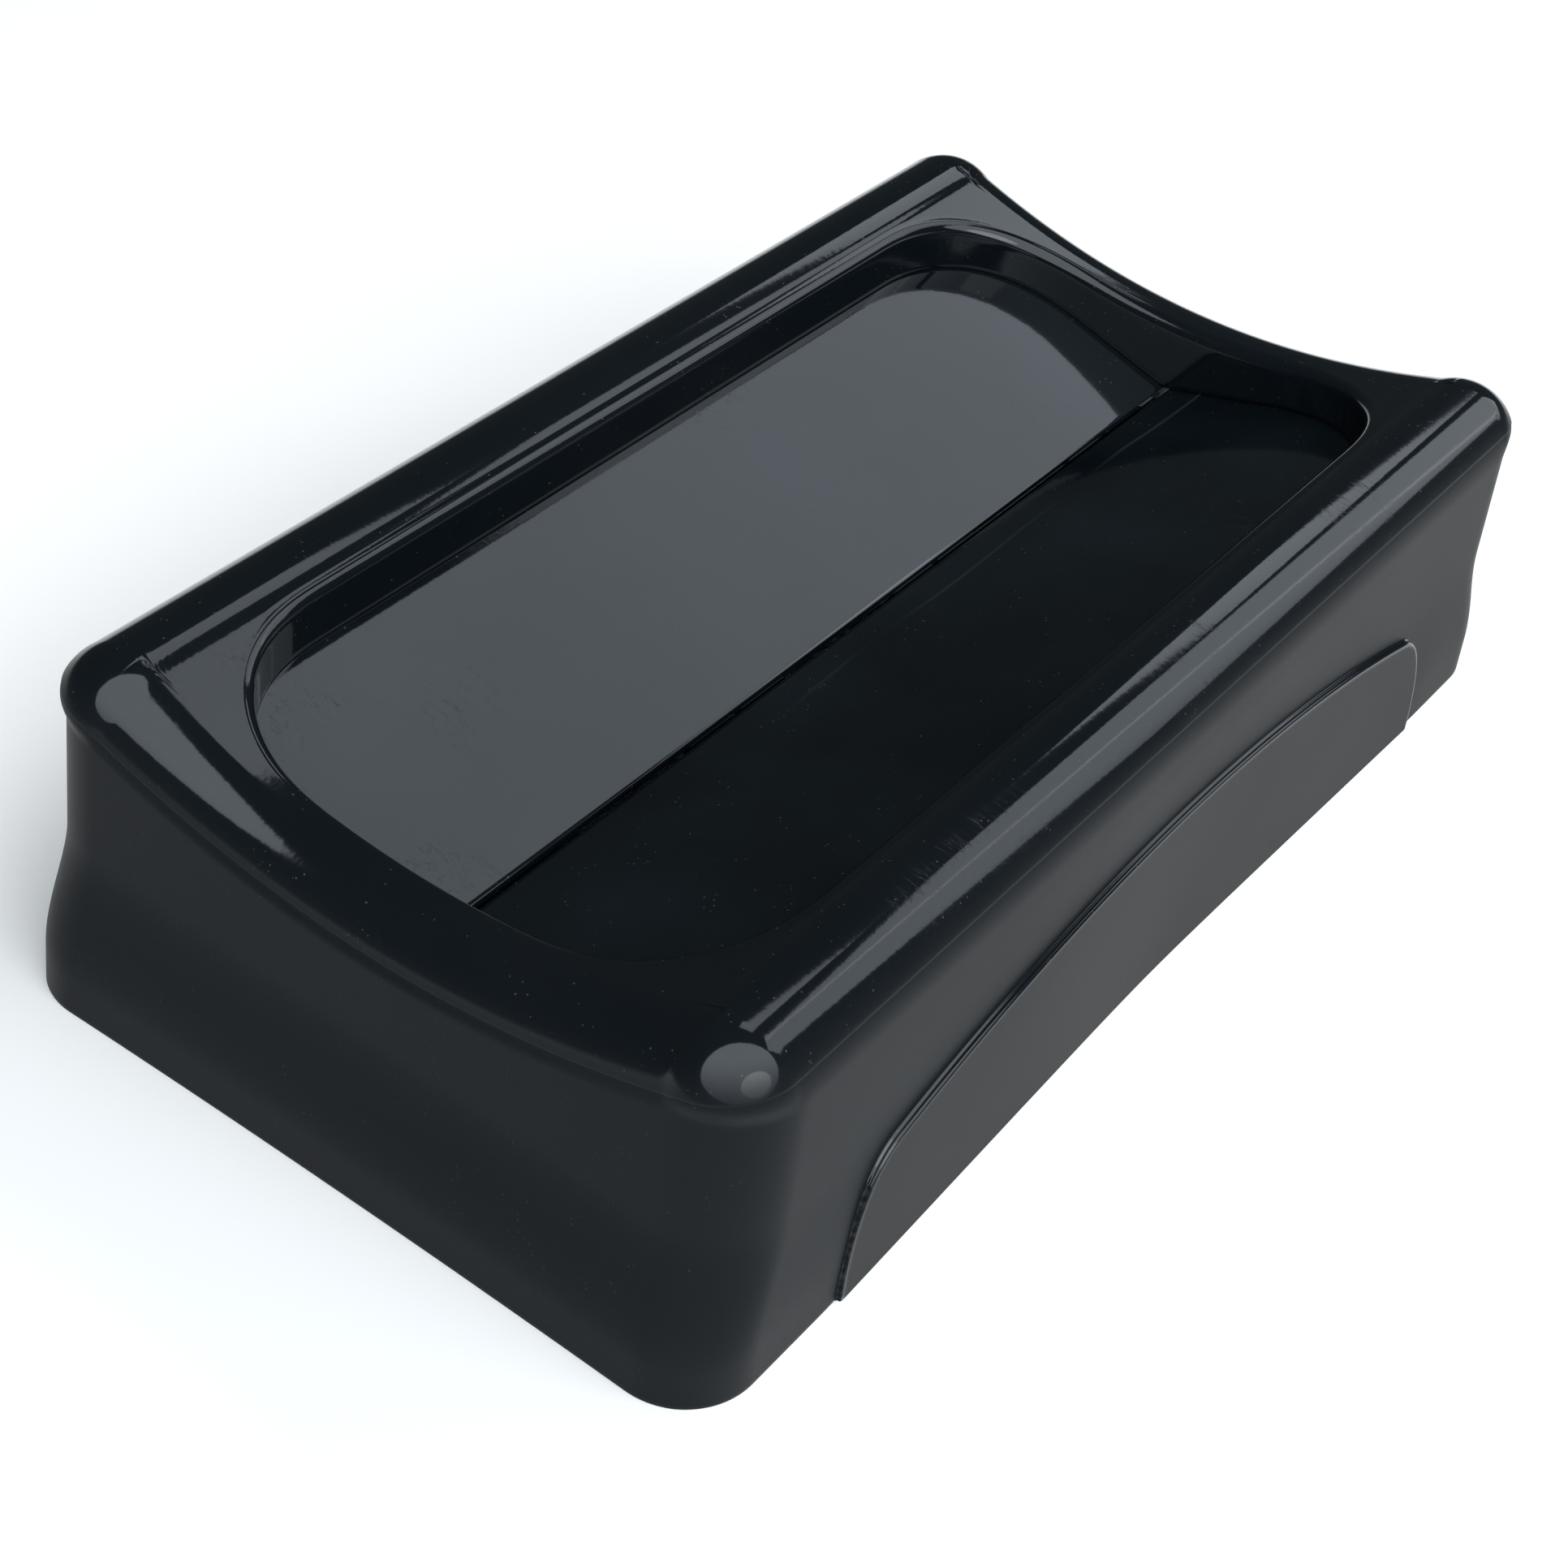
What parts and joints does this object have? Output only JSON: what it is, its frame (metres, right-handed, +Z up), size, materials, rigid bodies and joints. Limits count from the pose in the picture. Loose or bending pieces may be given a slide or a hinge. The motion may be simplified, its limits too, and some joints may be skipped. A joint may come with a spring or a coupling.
{
  "type": "swing lid for a slim waste container",
  "caption": "Moulded swing lid that drops over a slim rectangular waste container; a sunk opening closed by sprung flaps on a shared hinge rod, sloping to a valley.",
  "frame": {"origin": "centre of the lid's bottom rim, on the plane that it stands on", "axes": "+X along the lid and the hinge rod, +Y to the rear long side, +Z up"},
  "size_m": [0.5194, 0.2888, 0.129],
  "materials": {
    "shell": "glossy near-black moulded plastic, satin on the skirts",
    "flap": "high gloss near-black moulded plastic",
    "steel": "drawn stainless steel",
    "spring_wire": "drawn spring wire",
    "acetal": "natural acetal",
    "bumper": "matt black rubber"
  },
  "bodies": {
    "lid": {"lid_shell": "shell", "hinge_rod": "steel", "left_rod_washer": "acetal", "right_rod_washer": "acetal", "left_rod_retainer": "shell", "right_rod_retainer": "shell", "left_front_retainer_screw": "steel", "left_rear_retainer_screw": "steel", "right_front_retainer_screw": "steel", "right_rear_retainer_screw": "steel", "front_left_stop_bumper": "bumper", "front_right_stop_bumper": "bumper", "rear_left_stop_bumper": "bumper", "rear_right_stop_bumper": "bumper"},
    "rear_door": {"rear_flap": "flap", "rear_flap_spring": "spring_wire"},
    "front_door": {"front_flap": "flap", "front_flap_spring": "spring_wire"}
  },
  "joints": [
    {"name": "rear_flap_swing", "type": "hinge", "parent": "lid", "child": "rear_door", "pos_m": [0, 0, 0.0676], "axis": [-1, 0, 0], "range_deg": [0, 55], "stiffness_Nm_per_rad": 0.06, "springref_deg": -143.24},
    {"name": "front_flap_swing", "type": "hinge", "parent": "lid", "child": "front_door", "pos_m": [0, 0, 0.0676], "axis": [1, 0, 0], "range_deg": [0, 55], "stiffness_Nm_per_rad": 0.06, "springref_deg": -143.24}
  ]
}
